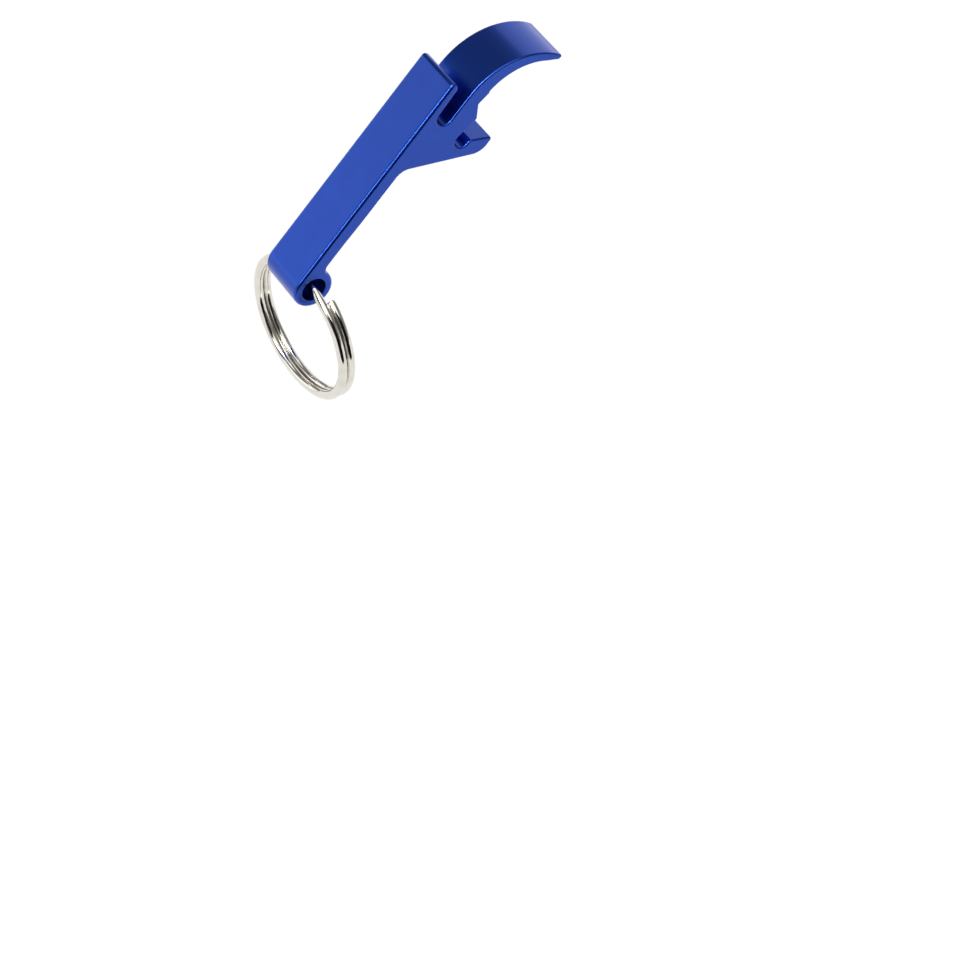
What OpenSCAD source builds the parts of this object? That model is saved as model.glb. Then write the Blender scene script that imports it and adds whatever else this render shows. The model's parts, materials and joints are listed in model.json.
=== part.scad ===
// Keychain bottle opener: one extruded, cut and anodised aluminium lever, and the split ring
// that hangs from its eye. Millimetres. +Z is up along the bottle, the lever slopes down to the
// ring, +X points across the cap, and +Y runs along the extrusion. The origin is the centre of
// the notch that takes the edge of the crown cap, in the middle of the lever's width.
// The lever's outline is drawn flat: u runs along the handle towards the jaw and v stands
// square to it, with the notch centre at 0,0.

/* [Lever] */
// Width of the extrusion
body_w = 9.8; // [7:0.1:14]
// Slope of the handle below level when the cap is gripped, degrees
handle_slope = 46; // [35:1:55]
// Thickness of the handle plate
plate_t = 3; // [2.4:0.1:4.5]
// Height of the plate's underside above the notch centre
plate_rise = 7.2; // [6:0.1:10]

/* [Eye] */
// Distance along the handle from the notch centre to the ring hole
reach = 34; // [26:0.5:50]
// Diameter of the ring hole
hole_d = 4.4; // [3.9:0.1:6]
// Wall of the eye around the hole
eye_wall = 1.4; // [1:0.1:2.5]
// Radius of the inside corner between the eye and the plate
eye_fillet_r = 1.3; // [0.6:0.1:2]

/* [Can-tab lifter] */
// Length of the plate ahead of the notch centre
tab_len = 8.1; // [6:0.1:12]
// Thickness of the plate where it runs free over the slot
tab_t = 1.9; // [1.4:0.1:2.6]
// Radius of the tab's upper front edge
tab_nose_r = 0.7; // [0.3:0.1:1.2]
// Radius of the tab's lower front edge
tab_under_r = 1; // [0.3:0.1:1.2]
// Width of the slot under the tab
slot_w = 3; // [2.2:0.1:3.8]
// Distance from the notch centre to the closed end of the slot
slot_start = 0.8; // [0:0.1:3]

/* [Jaw] */
// Radius of the round bottom of the notch
notch_r = 1.4; // [1:0.1:1.6]
// Thickness of the arm over the cap, at its root
arm_t = 3.2; // [2.6:0.1:4]
// Outside radius of the arm
arm_out_r = 13.4; // [11:0.1:15]
// Inside radius of the arm
arm_in_r = 11.1; // [10:0.1:12]
// Thickness of the blunt tip of the arm
tip_t = 0.9; // [0.7:0.1:1.4]
// Depth of the lip's lower edge below the notch centre
lip_depth = 5.6; // [4.6:0.1:7]
// Slope of the back of the lip, degrees from the handle
lip_back_angle = 56; // [48:1:64]
// Radius of the inside corner between the plate and the back of the lip
lip_fillet_r = 2.6; // [1:0.1:3.5]
// Radius of the outside corner between the back of the lip and its lower edge
lip_round_r = 4; // [2:0.1:5]

/* [Split ring] */
// Outside diameter of the ring
ring_od = 26.8; // [24:0.1:34]
// Radial thickness of the ring's wire
wire_t = 1.7; // [1.2:0.1:1.9]
// Width of the ring's wire along the ring's axis
wire_w = 1.5; // [1:0.1:1.7]
// Gap between the two coils
coil_gap = 0.06; // [0.04:0.01:0.12]
// Half of the arc over which a single wire crosses from one coil to the other, degrees
cross_half = 30; // [26:1:34]
// Turn of the ring about the upright, out of line with the hole, degrees
ring_yaw = 5; // [0:1:6]
// Shift of the ring off the hole's axis, towards the jaw
ring_shift_x = 0.4; // [0:0.1:0.5]
// Shift of the ring out of the middle of the lever's width
ring_shift_y = -0.3; // [-0.5:0.1:0.5]

/* [Hidden] */

arc_step = 5;                                  // angle between the points of an arc
eye_r = hole_d / 2 + eye_wall;
plate_top = plate_rise + plate_t;
eye = [-reach, plate_top - eye_r];             // the eye is flush with the top of the plate
slot_top = plate_top - tab_t;
slot_floor = slot_top - slot_w;
arm_out_c = [7.2, slot_floor - arm_out_r];     // the arm's back is flush with the slot floor
arm_in_c = [8.3, slot_floor - arm_t - arm_in_r];
hole_centre = [                                // in the model's own frame
    eye[0] * cos(handle_slope) - eye[1] * sin(handle_slope),
    0,
    eye[0] * sin(handle_slope) + eye[1] * cos(handle_slope)
];

ring_r = (ring_od - wire_t) / 2;               // to the middle of the wire
coil_pitch = wire_w + coil_gap;
end_gap = 4;                                   // degrees from the crossing to each cut end
wire_from = cross_half + end_gap;
wire_to = 720 - wire_from;
wire_steps = ceil((wire_to - wire_from) / arc_step);
// The wire runs through the middle of the hole: its highest and lowest points in the hole
// lie equally far from the hole's axis.
wire_sag = ring_r - sqrt(pow(ring_r, 2) - pow(body_w / 2, 2));
ring_drop = ring_r - wire_sag / 2;
wire_sides = 12;

function unit(p) = p / norm(p);
function angle_of(p) = atan2(p[1], p[0]);
function wrapped(a) = a > 180 ? a - 360 : a < -180 ? a + 360 : a;

// Points of an arc, in steps of about arc_step
function arc(c, r, from, to) =
    let (n = max(2, ceil(abs(to - from) / arc_step)))
    [for (i = [0:n]) let (a = from + (to - from) * i / n) c + r * [cos(a), sin(a)]];

// Point of a circle at an angle from the +v direction, turning towards +u
function on_arc(c, r, a) = c + r * [sin(a), cos(a)];

// A corner at p between its neighbours, rounded to r where its sides are long enough
function rounded(before, p, after, r) =
    let (
        a = unit(before - p), b = unit(after - p),
        half = acos(a * b) / 2,
        run = min(r / tan(half), 0.48 * min(norm(before - p), norm(after - p))),
        c = p + unit(a + b) * run / cos(half),
        from = angle_of(p + a * run - c),
        turn = wrapped(angle_of(p + b * run - c) - from)
    )
    arc(c, run * tan(half), from, from + turn);

// An outline from corners [u, v, r]: r = 0 keeps the point as it is
function outline(corners) =
    let (n = len(corners))
    [for (i = [0:n - 1])
        let (
            q = corners[i],
            p = [q[0], q[1]],
            before = [corners[(i + n - 1) % n][0], corners[(i + n - 1) % n][1]],
            after = [corners[(i + 1) % n][0], corners[(i + 1) % n][1]]
        )
        each q[2] > 0 ? rounded(before, p, after, q[2]) : [p]];

function sharp(points) = [for (p = points) [p[0], p[1], 0]];

// The inside corner between the eye and the underside of the plate
fillet_c = [
    eye[0] + sqrt(pow(eye_r + eye_fillet_r, 2) - pow(eye[1] - plate_rise + eye_fillet_r, 2)),
    plate_rise - eye_fillet_r
];
fillet_side = angle_of(eye - fillet_c);        // where the fillet leaves the eye
eye_side = angle_of(fillet_c - eye) + 360;

// Corners of the jaw, each a place [u, v] and the radius that rounds it
lip_bottom = [-0.4, -lip_depth, lip_round_r];
lip_top = [lip_bottom[0] - (plate_rise + lip_depth) / tan(lip_back_angle), plate_rise, lip_fillet_r];
lip_tip = [3, -lip_depth + 0.15, 0.45];
notch_edge = [0.75, -notch_r - 0.3, 0.4];      // where the lip meets the notch
notch_from = -80;                              // the notch's arc, degrees from +u
notch_to = -282;
throat_top = slot_floor - arm_t + 0.2;
throat_root = [4.45, notch_r - 1, 0.8];
heel = [6.85, throat_top, 0.6];
heel_front = [9.3, throat_top - 0.45, 0.3];

// Tip of the arm
tip_drop = 1.75;                               // its end above the centre of the arm's back
tip_out_angle = acos(tip_drop / arm_out_r);
tip_end = on_arc(arm_out_c, arm_out_r, tip_out_angle);
tip_outer = [tip_end[0] + 0.02, tip_end[1] - 0.45, 0.4];
tip_inner = [tip_end[0] - tip_t * 0.9, tip_end[1] - 0.35, 0.35];
arm_in_from = 83;                              // the inside of the arm, degrees from +u
arm_in_to = 24;

module lever_outline() {
    polygon(outline(concat(
        // eye, from the top of the plate round its rear to the fillet under the plate
        sharp(arc(eye, eye_r, 90, eye_side)),
        sharp(arc(fillet_c, eye_fillet_r, fillet_side, 90)),
        // back and lower edge of the lip
        [lip_top, lip_bottom, lip_tip, notch_edge],
        // round bottom of the notch
        sharp(arc([0, 0], notch_r, notch_from, notch_to)),
        // throat that bears on the cap's skirt, and the small heel ahead of it
        [throat_root, heel, heel_front],
        // inside of the arm, its blunt tip, and its back
        sharp(arc(arm_in_c, arm_in_r, arm_in_from, arm_in_to)),
        [tip_inner, tip_outer],
        sharp(arc(arm_out_c, arm_out_r, 90 - tip_out_angle + 1, 90)),
        // slot for a can tab
        sharp(arc([slot_start + slot_w / 2, slot_floor + slot_w / 2], slot_w / 2, 270, 90)),
        // free end of the plate
        [[tab_len, slot_top, tab_under_r],
         [tab_len, plate_top, tab_nose_r]]
    )));
}

// Places what is drawn in u, v and the width direction at the handle's slope
module on_slope() {
    rotate([0, -handle_slope, 0]) rotate([90, 0, 0]) children();
}

module opener_body() {
    color([0.16, 0.27, 0.66])
        on_slope()
            difference() {
                translate([0, 0, -body_w / 2]) linear_extrude(body_w) lever_outline();
                translate([eye[0], eye[1], -body_w]) cylinder(d = hole_d, h = 2 * body_w, $fn = 64);
            }
}

// Share of the way across from the first coil to the second, at t from 0 to 1
function eased(t) = let (s = min(1, max(0, t))) s * s * (3 - 2 * s);

// Middle of the wire at an angle a along its whole run: the first coil, the crossing at
// 360 degrees inside the hole, then the second coil. x is the ring's axis, z is up.
function wire_at(a) =
    [coil_pitch * (0.5 - eased((a - 360 + cross_half) / (2 * cross_half))),
     -ring_r * sin(a), ring_r * cos(a)];

// One section of the wire: an oval in the plane of the ring's axis and the radius
function wire_section(a) =
    [for (i = [0:wire_sides - 1])
        let (s = 360 * i / wire_sides, r = wire_t / 2 * cos(s))
        wire_at(a) + [wire_w / 2 * sin(s), -r * sin(a), r * cos(a)]];

module split_ring() {
    sections = [for (k = [0:wire_steps])
        wire_section(wire_from + (wire_to - wire_from) * k / wire_steps)];
    points = [for (s = sections) each s];
    sides = [for (k = [0:wire_steps - 1], i = [0:wire_sides - 1])
        let (j = (i + 1) % wire_sides, a = k * wire_sides, b = a + wire_sides)
        [a + i, a + j, b + j, b + i]];
    last = wire_steps * wire_sides;
    ends = [[for (i = [wire_sides - 1:-1:0]) i],
            [for (i = [0:wire_sides - 1]) last + i]];
    color([0.78, 0.77, 0.74])
        translate(hole_centre + [ring_shift_x, ring_shift_y, -ring_drop])
            rotate([0, 0, ring_yaw])
                polyhedron(points, concat(sides, ends), convexity = 6);
}

opener_body();
split_ring();
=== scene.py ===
import json
from math import acos, atan2, ceil, cos, degrees, pi, radians, sin, sqrt, tan

import bpy
from mathutils import Matrix, Vector


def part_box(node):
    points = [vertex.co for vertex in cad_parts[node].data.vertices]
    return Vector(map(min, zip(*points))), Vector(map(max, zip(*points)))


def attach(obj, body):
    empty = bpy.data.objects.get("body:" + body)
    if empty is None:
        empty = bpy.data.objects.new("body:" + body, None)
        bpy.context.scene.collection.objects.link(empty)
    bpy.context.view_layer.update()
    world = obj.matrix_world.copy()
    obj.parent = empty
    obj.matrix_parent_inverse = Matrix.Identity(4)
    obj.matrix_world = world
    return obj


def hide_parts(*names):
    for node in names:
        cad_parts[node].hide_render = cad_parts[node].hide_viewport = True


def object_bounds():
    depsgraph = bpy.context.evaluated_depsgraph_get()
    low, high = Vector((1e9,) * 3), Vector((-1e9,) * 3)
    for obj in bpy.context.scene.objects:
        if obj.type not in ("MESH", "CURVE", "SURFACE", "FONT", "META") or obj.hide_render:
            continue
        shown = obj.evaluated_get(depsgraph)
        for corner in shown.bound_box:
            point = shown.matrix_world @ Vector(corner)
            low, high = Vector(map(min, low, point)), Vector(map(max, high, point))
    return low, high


# Keychain bottle opener: an anodised aluminium lever and the split ring in its eye.
# Blender works in metres; the dictionaries give their sizes in millimetres and degrees.
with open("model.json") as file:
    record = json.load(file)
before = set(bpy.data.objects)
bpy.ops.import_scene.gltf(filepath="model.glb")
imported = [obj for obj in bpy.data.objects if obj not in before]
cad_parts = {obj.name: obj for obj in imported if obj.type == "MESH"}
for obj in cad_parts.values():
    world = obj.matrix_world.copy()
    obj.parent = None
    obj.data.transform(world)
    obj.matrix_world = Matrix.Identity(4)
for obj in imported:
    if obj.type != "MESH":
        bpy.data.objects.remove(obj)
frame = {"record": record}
bpy.ops.object.select_all(action="DESELECT")
cadLow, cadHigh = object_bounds()
scene = bpy.context.scene
mm = 0.001
snap = 0.002 * mm       # points closer than this are one point
print("frame loaded, box", [round(v / mm, 1) for v in cadHigh - cadLow])


cameraView = {
    "place": (-230.65, -378.75, 382.04),
    "azimuth": 32.196,      # from +Y towards +X
    "down": 46.478,         # below level
    "roll": 1.187,
    "lens": 132.65,
    "sensor": 36,
    "clip": (0.01, 20),     # metres
}


def makeCamera():
    d = cameraView
    bpy.ops.object.camera_add()
    camera = bpy.context.active_object
    camera.name = "studioCamera"
    turn = (Matrix.Rotation(-radians(d["azimuth"]), 4, "Z")
            @ Matrix.Rotation(radians(90 - d["down"]), 4, "X")
            @ Matrix.Rotation(radians(d["roll"]), 4, "Z"))
    camera.matrix_world = Matrix.Translation(Vector(d["place"]) * mm) @ turn
    camera.data.lens = d["lens"]
    camera.data.sensor_width = d["sensor"]
    camera.data.clip_start, camera.data.clip_end = d["clip"]
    scene.camera = camera
    camera.select_set(False)
    print("camera set")


makeCamera()


def pick(piece, kind, test):
    # selects the edges or faces of a piece in edit mode whose place passes the test
    bpy.ops.object.mode_set(mode="EDIT")
    bpy.ops.mesh.select_mode(type=kind)
    bpy.ops.mesh.select_all(action="DESELECT")
    bpy.ops.object.mode_set(mode="OBJECT")
    mesh = piece.data
    for part in mesh.edges if kind == "EDGE" else mesh.polygons:
        part.select = all(test(mesh.vertices[i].co) for i in part.vertices)
    bpy.ops.object.mode_set(mode="EDIT")


def addModifier(piece, kind, **settings):
    bpy.context.view_layer.objects.active = piece
    modifier = piece.modifiers.new(kind.lower(), kind)
    for name, value in settings.items():
        setattr(modifier, name, value)
    bpy.ops.object.modifier_apply(modifier=modifier.name)


def eased(t):
    t = min(1, max(0, t))
    return t * t * (3 - 2 * t)


def startPoint(name, spot):
    # a lone vertex, ready to be extruded into an outline
    bpy.ops.mesh.primitive_plane_add(size=mm)
    piece = bpy.context.active_object
    piece.name = name
    piece.data.name = name
    bpy.ops.object.mode_set(mode="EDIT")
    bpy.ops.mesh.select_mode(type="VERT")
    bpy.ops.mesh.merge(type="CENTER")
    bpy.ops.transform.translate(value=spot)
    return piece


gripAxis = next(m["axis"] for m in frame["record"]["mounts"] if m["name"] == "grip_face")
slope = atan2(-gripAxis[0], gripAxis[2])
leverLow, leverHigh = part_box("opener_body")

lever = {
    "width": (leverHigh.y - leverLow.y) / mm,
    "plate": 3.0,               # thickness
    "rise": 7.2,                # underside of the plate above the notch
    "reach": 34.0,              # notch to ring hole, along the handle
    "eyeRadius": 3.6,
    "holeRadius": 2.2,
    "eyeFillet": 1.3,
    "tabLength": 8.1,
    "tab": 1.9,
    "tabNose": 0.7,
    "tabUnder": 1.0,
    "slotWidth": 3.0,
    "slotStart": 0.8,
    "notchRadius": 1.4,
    "notchArc": (-80, -282),
    "arm": 3.2,
    "armOuter": 13.4,
    "armOuterCentre": 7.2,      # of the arc, along the handle
    "armInner": 11.1,
    "armInnerCentre": 8.3,
    "armInnerArc": (83, 24),
    "tipRise": 1.75,            # end of the arm above the centre of its outer arc
    "tipRun": 4,                # degrees of that arc which the rounded tip takes up
    "lipStart": -0.4,
    "lipDepth": 5.6,
    "lipSlope": 56,
    "lipFillet": 2.6,
    "lipRound": 4.0,
    # corners: along the handle, square to it, radius
    "lipTip": (3.0, -5.45, 0.45),
    "notchEdge": (0.75, -1.7, 0.4),
    "throatRoot": (4.45, 0.4, 0.8),
    "heel": (6.85, 2.3, 0.6),
    "heelFront": (9.3, 1.85, 0.5),
    # the same, from the end of the arm
    "tipInner": (-0.81, -0.35, 0.36),
    "tipOuter": (0.07, -0.45, 0.35),
    # radii of the tumbled edges
    "plateEdge": 0.6,
    "jawEdge": 0.34,
    "rimEdge": 0.16,
    # stretches along the handle where the radius eases from the plate's to the jaw's
    "underTaper": (-26, -19),
    "tabTaper": (6.3, 3.3),
    "taperSteps": 8,
    "edgeSteps": 6,
    "rimSteps": 4,
    "holeSteps": 80,
    "arcStep": 3,               # degrees between the points of an arc
}

along = Vector((cos(slope), 0, sin(slope)))
across = Vector((-sin(slope), 0, cos(slope)))
leverHalf = lever["width"] / 2 * mm
plateTop = lever["rise"] + lever["plate"]
slotTop = plateTop - lever["tab"]


def leverSpot(spot):
    # from along and square to the handle to the model's frame, on the lever's near side
    u, v = spot
    return (along * u + across * v) * mm - Vector((0, leverHalf, 0))


def onSides(co):
    return abs(abs(co.y) - leverHalf) < snap


def arcSpot(centre, radius, angle):
    return (centre[0] + radius * cos(radians(angle)), centre[1] + radius * sin(radians(angle)))


def lineTo(path, spot):
    bpy.ops.mesh.extrude_vertices_move(
        TRANSFORM_OT_translate={"value": leverSpot(spot) - leverSpot(path[-1])})
    path.append(tuple(spot))


def arcTo(path, centre, radius, start, end):
    # a line to the arc's start, then the arc, angles from along the handle to square to it
    first = arcSpot(centre, radius, start)
    if (Vector(first) - Vector(path[-1])).length * mm > snap / 2:
        lineTo(path, first)
    steps = max(2, ceil(abs(end - start) / lever["arcStep"]))
    bpy.ops.mesh.spin(steps=steps, angle=radians(end - start), dupli=False,
                      center=leverSpot(centre), axis=(0, 1, 0))
    path.append(arcSpot(centre, radius, end))


def stretchTo(path, start, end):
    # a straight stretch in short pieces, so that its edge can taper
    steps = lever["taperSteps"]
    for k in range(steps + 1):
        lineTo(path, Vector(start).lerp(Vector(end), k / steps))


def cornerTo(path, corner, after, radius):
    # a rounded corner on the way from the last point to the one after
    here, before, beyond = Vector(corner), Vector(path[-1]), Vector(after)
    a = (before - here).normalized()
    b = (beyond - here).normalized()
    half = acos(max(-1, min(1, a.dot(b)))) / 2
    run = min(radius / tan(half), 0.98 * (before - here).length, 0.53 * (beyond - here).length)
    centre = here + (a + b).normalized() * run / cos(half)
    start = here + a * run - centre
    end = here + b * run - centre
    first = degrees(atan2(start.y, start.x))
    turn = degrees(atan2(end.y, end.x)) - first
    turn = (turn + 180) % 360 - 180
    arcTo(path, centre, run * tan(half), first, first + turn)


def drawOutline():
    d = lever
    slotFloor = slotTop - d["slotWidth"]
    slotMiddle = (d["slotStart"] + d["slotWidth"] / 2, slotFloor + d["slotWidth"] / 2)
    eye = Vector((-d["reach"], plateTop - d["eyeRadius"]))
    fillet = Vector((0, d["rise"] - d["eyeFillet"]))
    fillet.x = eye.x + sqrt((d["eyeRadius"] + d["eyeFillet"]) ** 2 - (eye.y - fillet.y) ** 2)
    toFillet = degrees(atan2(fillet.y - eye.y, fillet.x - eye.x))
    lipBottom = (d["lipStart"], -d["lipDepth"])
    lipBack = (d["rise"] + d["lipDepth"]) / tan(radians(d["lipSlope"]))
    lipTop = (d["lipStart"] - lipBack, d["rise"])
    notchIn = arcSpot((0, 0), d["notchRadius"], d["notchArc"][0])
    armIn = (d["armInnerCentre"], slotFloor - d["arm"] - d["armInner"])
    armStart = arcSpot(armIn, d["armInner"], d["armInnerArc"][0])
    armOut = (d["armOuterCentre"], slotFloor - d["armOuter"])
    tipAngle = degrees(acos(d["tipRise"] / d["armOuter"]))
    tipEnd = arcSpot(armOut, d["armOuter"], 90 - tipAngle)
    tipInner, tipOuter = ((tipEnd[0] + corner[0], tipEnd[1] + corner[1])
                          for corner in (d["tipInner"], d["tipOuter"]))
    backAngle = 90 - tipAngle + d["tipRun"]
    tipBack = arcSpot(armOut, d["armOuter"], backAngle)

    path = [(eye.x, plateTop)]
    piece = startPoint("anodised_lever", leverSpot(path[0]))
    arcTo(path, eye, d["eyeRadius"], 90, toFillet + 360)
    arcTo(path, fillet, d["eyeFillet"], toFillet + 180, 90)
    stretchTo(path, *((u, d["rise"]) for u in d["underTaper"]))
    cornerTo(path, lipTop, lipBottom, d["lipFillet"])
    cornerTo(path, lipBottom, d["lipTip"][:2], d["lipRound"])
    jaw = [d["lipTip"], d["notchEdge"], notchIn]
    for corner, after in zip(jaw, jaw[1:]):
        cornerTo(path, corner[:2], after[:2], corner[2])
    arcTo(path, (0, 0), d["notchRadius"], *d["notchArc"])
    throat = [d["throatRoot"], d["heel"], d["heelFront"], armStart]
    for corner, after in zip(throat, throat[1:]):
        cornerTo(path, corner[:2], after[:2], corner[2])
    arcTo(path, armIn, d["armInner"], *d["armInnerArc"])
    cornerTo(path, tipInner, tipOuter, d["tipInner"][2])
    cornerTo(path, tipOuter, tipBack, d["tipOuter"][2])
    arcTo(path, armOut, d["armOuter"], backAngle, 90)
    arcTo(path, slotMiddle, d["slotWidth"] / 2, 270, 90)
    stretchTo(path, *((u, slotTop) for u in reversed(d["tabTaper"])))
    cornerTo(path, (d["tabLength"], slotTop), (d["tabLength"], plateTop), d["tabUnder"])
    cornerTo(path, (d["tabLength"], plateTop), path[0], d["tabNose"])
    lineTo(path, path[0])
    bpy.ops.mesh.select_all(action="SELECT")
    bpy.ops.mesh.remove_doubles(threshold=snap)
    bpy.ops.mesh.edge_face_add()
    return piece, leverSpot(eye)


def plateShare(u, v):
    # how far an edge at this place has the plate's radius: 1 round the plate, 0 round the jaw
    d = lever
    near = 0.05
    onPlate = (v > slotTop + near or u < d["underTaper"][0]
               or u > d["tabTaper"][0] and v > slotTop - near)
    if onPlate and (v > slotTop + d["tab"] / 2 or u > d["slotStart"] + d["slotWidth"] or u < 0):
        return 1
    if abs(v - d["rise"]) < near and u < d["underTaper"][1]:
        return eased((d["underTaper"][1] - u) / (d["underTaper"][1] - d["underTaper"][0]))
    if abs(v - slotTop) < near:
        return eased((u - d["tabTaper"][1]) / (d["tabTaper"][0] - d["tabTaper"][1]))
    return 0


def makeLever():
    d = lever
    piece, eyeSpot = drawOutline()
    bpy.ops.mesh.extrude_region_move(TRANSFORM_OT_translate={"value": (0, 2 * leverHalf, 0)})
    bpy.ops.mesh.select_all(action="SELECT")
    bpy.ops.mesh.normals_make_consistent(inside=False)
    bpy.ops.object.mode_set(mode="OBJECT")
    print("lever outline drawn,", len(piece.data.vertices) // 2, "points")

    # the edges round both sides are weighted: the plate's are rounder than the jaw's
    weights = piece.data.attributes.new("bevel_weight_edge", "FLOAT", "EDGE").data
    for edge in piece.data.edges:
        a, b = (piece.data.vertices[i].co for i in edge.vertices)
        if abs(a.y - b.y) > leverHalf:
            continue
        share = plateShare((a + b).dot(along) / 2 / mm, (a + b).dot(across) / 2 / mm)
        radius = d["jawEdge"] + share * (d["plateEdge"] - d["jawEdge"])
        weights[edge.index].value = radius / d["plateEdge"]
    addModifier(piece, "BEVEL", width=d["plateEdge"] * mm, segments=d["edgeSteps"],
                limit_method="WEIGHT", use_clamp_overlap=False, profile=0.5)
    print("lever edges rounded,", len(piece.data.polygons), "faces")
    cutHole(piece, eyeSpot)
    markEdges(piece)
    bpy.ops.object.shade_smooth()
    addModifier(piece, "WEIGHTED_NORMAL", mode="FACE_AREA", weight=100, keep_sharp=False)
    # the sawn sides stay flat right up to their rounded edges
    pick(piece, "FACE", onSides)
    bpy.ops.mesh.set_normals_from_faces()
    bpy.ops.object.mode_set(mode="OBJECT")
    return piece


def cutHole(piece, eyeSpot):
    # the sides are opened, a sleeve with rounded rims is spun, and the sides are filled round it
    d = lever
    hole, rim = d["holeRadius"] * mm, d["rimEdge"] * mm
    pick(piece, "FACE", onSides)
    bpy.ops.mesh.delete(type="ONLY_FACE")
    bpy.ops.object.mode_set(mode="OBJECT")
    piece.select_set(False)
    mouth = eyeSpot + Vector((hole + rim, 0, 0))
    startPoint("sleeve", mouth)
    bpy.ops.mesh.spin(steps=d["rimSteps"], angle=pi / 2, dupli=False, axis=(0, 0, 1),
                      center=mouth + Vector((0, rim, 0)))
    bpy.ops.mesh.extrude_vertices_move(
        TRANSFORM_OT_translate={"value": (0, 2 * (leverHalf - rim), 0)})
    bpy.ops.mesh.spin(steps=d["rimSteps"], angle=pi / 2, dupli=False, axis=(0, 0, 1),
                      center=mouth + Vector((0, 2 * leverHalf - rim, 0)))
    bpy.ops.mesh.select_all(action="SELECT")
    bpy.ops.mesh.spin(steps=d["holeSteps"], angle=2 * pi, dupli=False, axis=(0, 1, 0),
                      center=eyeSpot)
    bpy.ops.mesh.select_all(action="SELECT")
    bpy.ops.mesh.remove_doubles(threshold=snap)
    bpy.ops.object.mode_set(mode="OBJECT")
    piece.select_set(True)
    bpy.context.view_layer.objects.active = piece
    bpy.ops.object.join()
    for side in (-leverHalf, leverHalf):
        pick(piece, "EDGE", lambda co: abs(co.y - side) < snap)
        bpy.ops.mesh.fill(use_beauty=True)
    bpy.ops.mesh.select_all(action="SELECT")
    bpy.ops.mesh.normals_make_consistent(inside=False)
    bpy.ops.object.mode_set(mode="OBJECT")


def markEdges(piece):
    # 1 on the crowns of the rounded edges, where tumbling and pockets thin the dye
    mesh = piece.data
    crossing = set()
    for edge in mesh.edges:
        a, b = (mesh.vertices[i].co for i in edge.vertices)
        if abs(a.y - b.y) > leverHalf:
            crossing.update(edge.vertices)
    wear = mesh.attributes.new("edgeWear", "FLOAT", "POINT").data
    for vertex in mesh.vertices:
        flat = onSides(vertex.co) or vertex.index in crossing
        wear[vertex.index].value = 0.0 if flat else 1.0


ringLow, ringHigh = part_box("split_ring")

ring = {
    "outside": (ringHigh.z - ringLow.z) / mm,
    "thick": 1.7,           # of the wire, towards the ring's middle
    "wide": 1.5,            # of the wire, along the ring's axis
    "gap": 0.06,            # between the coils
    "cross": 30,            # half the arc of the crossing
    "endGap": 4,            # from the crossing to each cut end
    "yaw": 5,
    "turnStep": 3,          # degrees between the wire's sections
    "sectionPoints": 36,
    "endEdge": 0.13,
    "endSteps": 3,
}


def makeRing():
    d = ring
    radius = (d["outside"] - d["thick"]) / 2 * mm
    pitch = (d["wide"] + d["gap"]) * mm
    # the wire's section stands at the top of the first coil, and is turned to its cut end
    bpy.ops.mesh.primitive_circle_add(vertices=d["sectionPoints"], radius=mm / 2,
                                      fill_type="NOTHING", rotation=(pi / 2, 0, 0))
    piece = bpy.context.active_object
    piece.name = "split_ring_wire"
    piece.data.name = "split_ring_wire"
    bpy.ops.object.transform_apply(rotation=True)
    bpy.ops.object.mode_set(mode="EDIT")
    bpy.ops.mesh.select_mode(type="VERT")
    bpy.ops.mesh.select_all(action="SELECT")
    bpy.ops.transform.resize(value=(d["wide"], 1, d["thick"]), center_override=(0, 0, 0))
    bpy.ops.transform.translate(value=(pitch / 2, 0, radius))
    turnRing(d["cross"] + d["endGap"], 1)
    bpy.ops.mesh.select_all(action="INVERT")
    bpy.ops.mesh.delete(type="VERT")
    bpy.ops.mesh.select_all(action="SELECT")
    coil = 360 - 2 * d["cross"] - d["endGap"]
    turnRing(coil, coil // d["turnStep"])
    # one wire crosses from coil to coil inside the eye
    steps = 2 * d["cross"] // d["turnStep"]
    for k in range(steps):
        turnRing(d["turnStep"], 1)
        slide = eased((k + 1) / steps) - eased(k / steps)
        bpy.ops.transform.translate(value=(-pitch * slide, 0, 0))
    turnRing(coil, coil // d["turnStep"])
    # the cut ends are closed and their edges broken
    bpy.ops.mesh.select_all(action="DESELECT")
    bpy.ops.mesh.select_non_manifold(extend=False)
    bpy.ops.mesh.edge_face_add()
    bpy.ops.mesh.bevel(offset=d["endEdge"] * mm, segments=d["endSteps"], affect="EDGES",
                       clamp_overlap=True)
    bpy.ops.mesh.select_all(action="SELECT")
    bpy.ops.mesh.normals_make_consistent(inside=False)
    bpy.ops.object.mode_set(mode="OBJECT")
    markWire(piece, radius, pitch)
    piece.rotation_euler.z = radians(d["yaw"])
    piece.location = (ringLow + ringHigh) / 2
    bpy.ops.object.transform_apply(location=True, rotation=True)
    bpy.ops.object.shade_smooth()
    print("split ring wound,", len(piece.data.polygons), "faces")
    return piece


def turnRing(angle, steps):
    # turns what is selected on from one section of the wire to the next
    bpy.ops.mesh.spin(steps=int(steps), angle=-radians(angle), dupli=False,
                      center=(0, 0, 0), axis=(1, 0, 0))


def markWire(piece, radius, pitch):
    # each point's place on the straightened wire: across it twice, then along it
    d = ring
    mesh = piece.data
    place = mesh.attributes.new("wirePlace", "FLOAT_VECTOR", "POINT").data
    for vertex in mesh.vertices:
        x, y, z = vertex.co
        angle = degrees(atan2(-y, z))
        side = pitch / 2 if x > 0 else -pitch / 2
        turn = angle % 360 if x > 0 else angle % 360 + 360
        if abs(angle) < d["cross"]:
            side = pitch * (0.5 - eased((angle + d["cross"]) / (2 * d["cross"])))
            turn = angle + 360
        outward = sqrt(y * y + z * z) - radius
        place[vertex.index].vector = ((x - side) / mm, outward / mm, radians(turn) * radius / mm)


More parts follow.
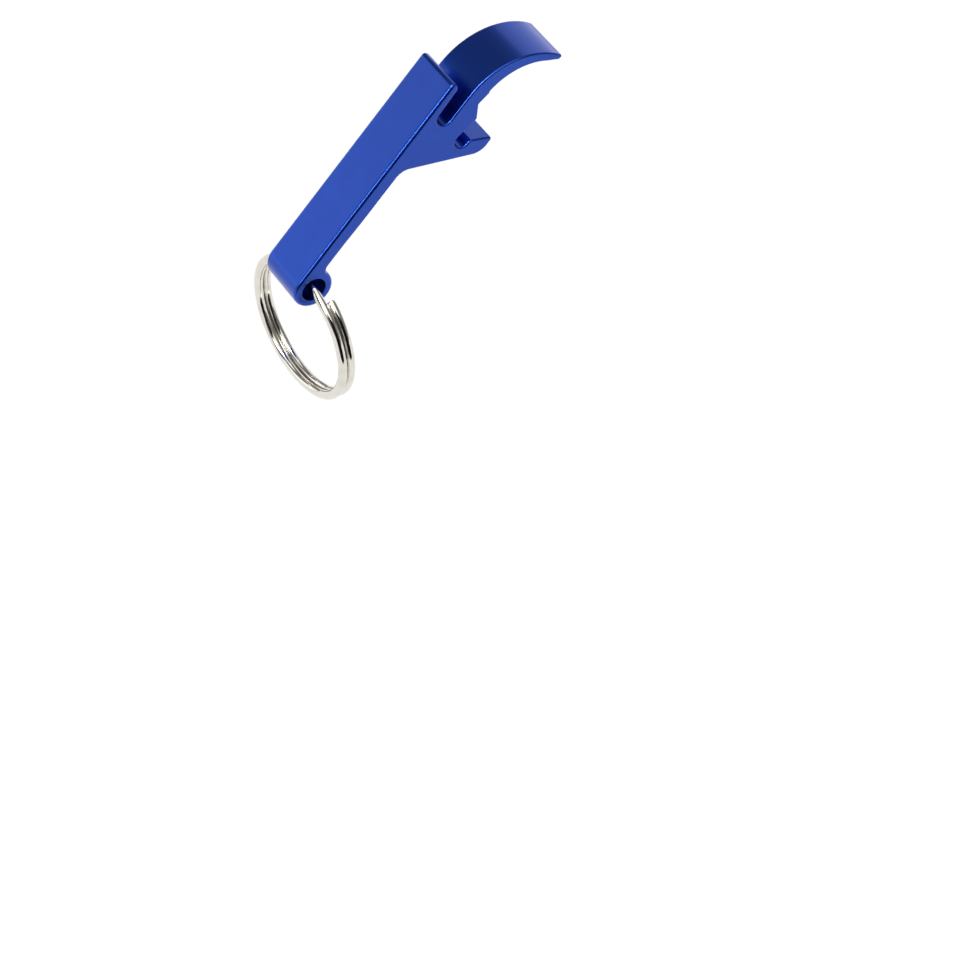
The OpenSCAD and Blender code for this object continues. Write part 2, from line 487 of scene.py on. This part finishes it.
def newMaterial(name):
    material = bpy.data.materials.new(name)
    material.use_nodes = True
    tree = material.node_tree
    shader = next(n for n in tree.nodes if n.type == "BSDF_PRINCIPLED")
    return material, tree, shader


def spread(tree, source, low, high, inLow=0.0, inHigh=1.0):
    # a value remapped to a range
    node = tree.nodes.new("ShaderNodeMapRange")
    node.inputs["From Min"].default_value = inLow
    node.inputs["From Max"].default_value = inHigh
    node.inputs["To Min"].default_value = low
    node.inputs["To Max"].default_value = high
    tree.links.new(source, node.inputs["Value"])
    return node.outputs["Result"]


def noise(tree, vector, grains, stretch=(1, 1, 1), turn=0.0):
    # noise from its scale, detail and roughness, stretched along the piece's own directions
    mapping = tree.nodes.new("ShaderNodeMapping")
    mapping.inputs["Rotation"].default_value = (0, turn, 0)
    mapping.inputs["Scale"].default_value = stretch
    tree.links.new(vector, mapping.inputs["Vector"])
    node = tree.nodes.new("ShaderNodeTexNoise")
    for name, value in zip(("Scale", "Detail", "Roughness"), grains):
        node.inputs[name].default_value = value
    tree.links.new(mapping.outputs["Vector"], node.inputs["Vector"])
    return node.outputs["Fac"]


def combine(tree, kind, a, b):
    node = tree.nodes.new("ShaderNodeMath")
    node.operation = kind
    for socket, value in zip(node.inputs, (a, b)):
        if isinstance(value, (int, float)):
            socket.default_value = value
        else:
            tree.links.new(value, socket)
    return node.outputs[0]


def mixColours(tree, factor, a, b):
    # each colour is a fixed one or the output of another node
    node = tree.nodes.new("ShaderNodeMix")
    node.data_type = "RGBA"
    tree.links.new(factor, node.inputs["Factor"])
    for socket, value in zip([s for s in node.inputs if s.type == "RGBA"], (a, b)):
        if isinstance(value, tuple):
            socket.default_value = value
        else:
            tree.links.new(value, socket)
    return next(s for s in node.outputs if s.type == "RGBA")


def addBump(tree, shader, height, strength, depth):
    bump = tree.nodes.new("ShaderNodeBump")
    bump.inputs["Strength"].default_value = strength
    bump.inputs["Distance"].default_value = depth * mm
    tree.links.new(height, bump.inputs["Height"])
    tree.links.new(bump.outputs["Normal"], shader.inputs["Normal"])


anodised = {
    "dye": (0.006, 0.055, 0.405, 1),
    "deepDye": (0.005, 0.05, 0.38, 1),
    "worn": (0.04, 0.11, 0.5, 1),
    "wear": 0.4,            # most of the dye that the rubbed edges lose
    "roughness": (0.28, 0.35),
    "sealed": 0.4,          # the clear skin over the dye
    "sealedRoughness": 0.13,
    # noises: grains to the metre, detail, roughness
    "cloud": (260, 3, 0.5),
    "grain": (9000, 3, 0.6),
    "dieLines": (7000, 2, 0.5),
    "pitting": (2600, 2, 0.5),
    "dieStretch": (1, 0.02, 1),
    "bump": 0.09,
    "bumpDepth": 0.02,
}


def anodisedBlue():
    d = anodised
    material, tree, shader = newMaterial("anodisedBlue")
    place = tree.nodes.new("ShaderNodeTexCoord").outputs["Object"]
    edge = tree.nodes.new("ShaderNodeAttribute")
    edge.attribute_name = "edgeWear"
    cloud = noise(tree, place, d["cloud"])
    grain = noise(tree, place, d["grain"])
    dieLines = noise(tree, place, d["dieLines"], d["dieStretch"], slope)
    pitting = noise(tree, place, d["pitting"])
    # the dye drifts slowly, and is a little paler on the rubbed edges
    dyed = mixColours(tree, spread(tree, cloud, 0, 1, 0.3, 0.7), d["deepDye"], d["dye"])
    rubbed = combine(tree, "MULTIPLY", edge.outputs["Fac"],
                     spread(tree, pitting, 0, d["wear"], 0.35, 0.75))
    tree.links.new(mixColours(tree, rubbed, dyed, d["worn"]), shader.inputs["Base Color"])
    shader.inputs["Metallic"].default_value = 1.0
    shader.inputs["Coat Weight"].default_value = d["sealed"]
    shader.inputs["Coat Roughness"].default_value = d["sealedRoughness"]
    tree.links.new(spread(tree, grain, *d["roughness"], 0.3, 0.7), shader.inputs["Roughness"])
    height = combine(tree, "ADD", combine(tree, "MULTIPLY", dieLines, 0.5),
                     combine(tree, "MULTIPLY", grain, 0.5))
    addBump(tree, shader, height, d["bump"], d["bumpDepth"])
    return material


nickel = {
    "plate": (0.74, 0.715, 0.66, 1),
    "dull": (0.60, 0.565, 0.50, 1),
    "dullest": 0.55,
    "roughness": (0.05, 0.1),
    # noises on the straightened wire: grains to the millimetre, detail, roughness
    "drawn": (9, 3, 0.55),
    "patches": (0.5, 3, 0.5),
    "scuffs": (5, 4, 0.65),
    "drawnStretch": (1, 1, 0.02),
    "scuffStretch": (1, 1, 0.5),
    "bump": 0.02,
    "bumpDepth": 0.01,
}


def nickelPlate():
    d = nickel
    material, tree, shader = newMaterial("nickelPlate")
    wire = tree.nodes.new("ShaderNodeAttribute")
    wire.attribute_name = "wirePlace"
    place = wire.outputs["Vector"]
    drawn = noise(tree, place, d["drawn"], d["drawnStretch"])
    patches = noise(tree, place, d["patches"])
    scuffs = noise(tree, place, d["scuffs"], d["scuffStretch"])
    dulled = spread(tree, patches, 0, d["dullest"], 0.45, 0.75)
    tree.links.new(mixColours(tree, dulled, d["plate"], d["dull"]), shader.inputs["Base Color"])
    shader.inputs["Metallic"].default_value = 1.0
    tree.links.new(spread(tree, scuffs, *d["roughness"], 0.35, 0.7), shader.inputs["Roughness"])
    addBump(tree, shader, drawn, d["bump"], d["bumpDepth"])
    return material


cutEnd = {
    "steel": (0.42, 0.36, 0.31, 1),
    "burr": (0.60, 0.47, 0.36, 1),
    "roughness": (0.35, 0.55),
    "grain": (6000, 3, 0.6),    # grains to the metre, detail, roughness
}


def cutSteel():
    d = cutEnd
    material, tree, shader = newMaterial("cutSteel")
    place = tree.nodes.new("ShaderNodeTexCoord").outputs["Object"]
    grain = noise(tree, place, d["grain"])
    tree.links.new(mixColours(tree, grain, d["steel"], d["burr"]), shader.inputs["Base Color"])
    shader.inputs["Metallic"].default_value = 1.0
    tree.links.new(spread(tree, grain, *d["roughness"]), shader.inputs["Roughness"])
    return material


leverPiece = makeLever()
leverPiece.data.materials.clear()
leverPiece.data.materials.append(anodisedBlue())
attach(leverPiece, "opener_body")
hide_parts("opener_body")
leverPiece.select_set(False)

ringPiece = makeRing()
ringPiece.data.materials.clear()
ringPiece.data.materials.append(nickelPlate())
ringPiece.data.materials.append(cutSteel())
for face in ringPiece.data.polygons:
    if len(face.vertices) > 4:      # the two cut ends
        face.material_index = 1
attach(ringPiece, "split_ring")
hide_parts("split_ring")
ringPiece.select_set(False)


studio = {
    "floor": -0.25,         # metres, as are the sizes below
    "floorSize": 14,
    "paper": (0.93, 0.93, 0.93, 1),
    "world": (1.0, 1.0, 1.0, 1),
    "worldStrength": 0.24,
    # panels: direction from the object, distance, width and height, brightness
    "panels": {
        "overheadPanel": ((-0.15, -0.31, 0.94), 1.0, (1.15, 1.3), 1.2),
        "keyPanel": ((-0.8, -0.34, 0.48), 0.95, (0.15, 0.35), 7),
        "glintPanel": ((-0.56, -0.34, 0.75), 0.95, (0.14, 0.55), 26),
        "leftPanel": ((-0.74, 0.6, 0.2), 1.0, (1.2, 0.5), 1.2),
        "rightPanel": ((0.82, 0.57, 0.3), 1.0, (1.0, 0.8), 0.75),
    },
    # a black card out of the camera's sight, in front of the object
    "card": ((-0.34, -0.93, 0.06), 0.3, (0.42, 0.39)),
    "felt": (0.012, 0.012, 0.012, 1),
    # the sun that falls on the floor alone, and the width of its disc in degrees
    "wash": 2.7,
    "washAngle": 60,
}


def mattMaterial(name, colour):
    material, _, shader = newMaterial(name)
    shader.inputs["Base Color"].default_value = colour
    shader.inputs["Roughness"].default_value = 1.0
    shader.inputs["Specular IOR Level"].default_value = 0.0
    return material


def makeFloor():
    bpy.ops.mesh.primitive_plane_add(size=studio["floorSize"], location=(0, 0, studio["floor"]))
    floor = bpy.context.active_object
    floor.name = "paleFloor"
    floor.data.materials.append(mattMaterial("palePaper", studio["paper"]))
    floor.select_set(False)


def facing(direction, distance):
    # a place out from the object's middle, and the turn that faces it
    middle = (cadLow + cadHigh) / 2
    spot = middle + Vector(direction).normalized() * distance
    return spot, (middle - spot).to_track_quat("-Z", "Y").to_euler()


def makePanel(name, direction, distance, size, brightness):
    # a soft panel aimed at the object, its brightness the same whatever its size
    spot, turn = facing(direction, distance)
    bpy.ops.object.light_add(type="AREA", location=spot, rotation=turn)
    light = bpy.context.active_object
    light.name = name
    light.data.shape = "RECTANGLE"
    light.data.size, light.data.size_y = size
    light.data.energy = brightness * pi * size[0] * size[1]
    light.visible_camera = False
    light.visible_diffuse = False
    light.select_set(False)


def makeCard(direction, distance, size):
    spot, turn = facing(direction, distance)
    bpy.ops.mesh.primitive_plane_add(size=1, location=spot, rotation=turn)
    card = bpy.context.active_object
    card.name = "blackCard"
    card.scale = (size[0], size[1], 1)
    card.data.materials.append(mattMaterial("blackFelt", studio["felt"]))
    card.visible_camera = False
    card.visible_diffuse = False
    card.visible_shadow = False
    card.select_set(False)


def makeStudio():
    makeFloor()
    makeCard(*studio["card"])
    for name, panel in studio["panels"].items():
        makePanel(name, *panel)
    bpy.ops.object.light_add(type="SUN", location=(0, 0, 1))
    wash = bpy.context.active_object
    wash.name = "floorWash"
    wash.data.energy = studio["wash"]
    wash.data.angle = radians(studio["washAngle"])
    wash.visible_glossy = False
    wash.select_set(False)
    world = bpy.data.worlds.new("studioWorld")
    scene.world = world
    world.use_nodes = True
    background = world.node_tree.nodes["Background"]
    background.inputs["Color"].default_value = studio["world"]
    background.inputs["Strength"].default_value = studio["worldStrength"]
    scene.view_settings.view_transform = "Standard"
    print("studio lit")


makeStudio()
